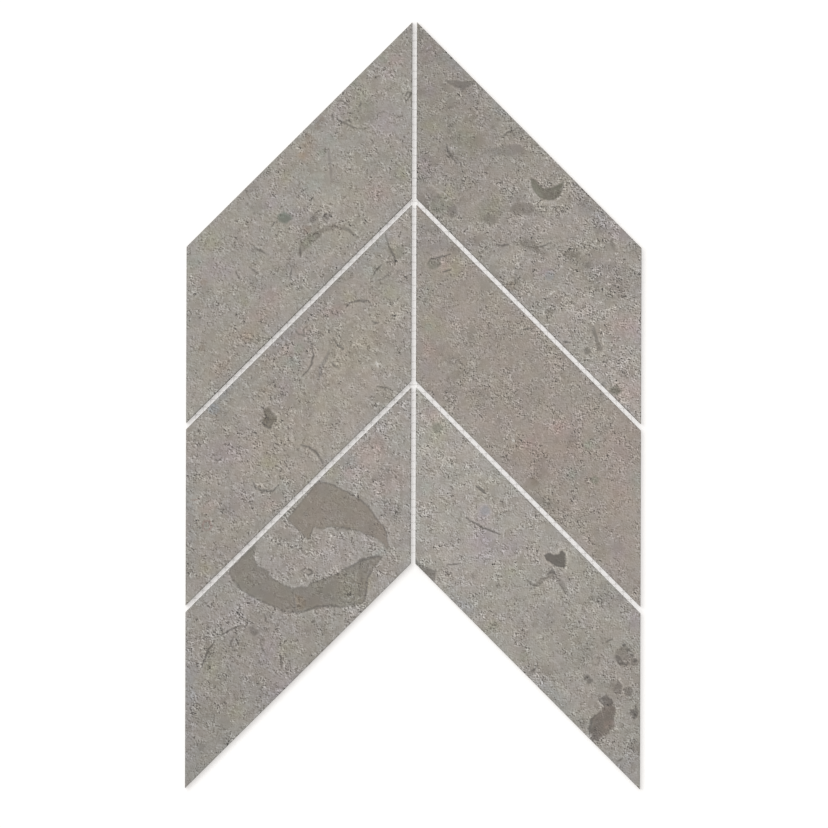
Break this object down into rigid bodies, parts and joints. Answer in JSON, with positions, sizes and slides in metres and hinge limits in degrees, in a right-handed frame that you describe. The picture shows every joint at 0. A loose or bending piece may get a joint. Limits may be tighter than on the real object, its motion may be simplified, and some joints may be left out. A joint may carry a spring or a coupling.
{
  "type": "chevron wall tile",
  "caption": "Wall tile sheet of sawn, honed limestone parallelograms set as nested arrowheads with open joints, held from behind by a glass fibre mesh.",
  "frame": {"origin": "middle of the sheet's outline, on the underside of the mesh", "axes": "+X across the sheet to the right, +Y up the wall towards the arrow's point, +Z out of the honed face"},
  "size_m": [0.297, 0.5004, 0.0104],
  "materials": {
    "limestone": "honed",
    "glass_fibre": "woven"
  },
  "bodies": {
    "root": {"stone_left_1": "limestone", "stone_right_1": "limestone", "stone_left_2": "limestone", "stone_right_2": "limestone", "stone_left_3": "limestone", "stone_right_3": "limestone", "mesh_upright_strands": "glass_fibre", "mesh_level_strands": "glass_fibre"}
  },
  "joints": []
}
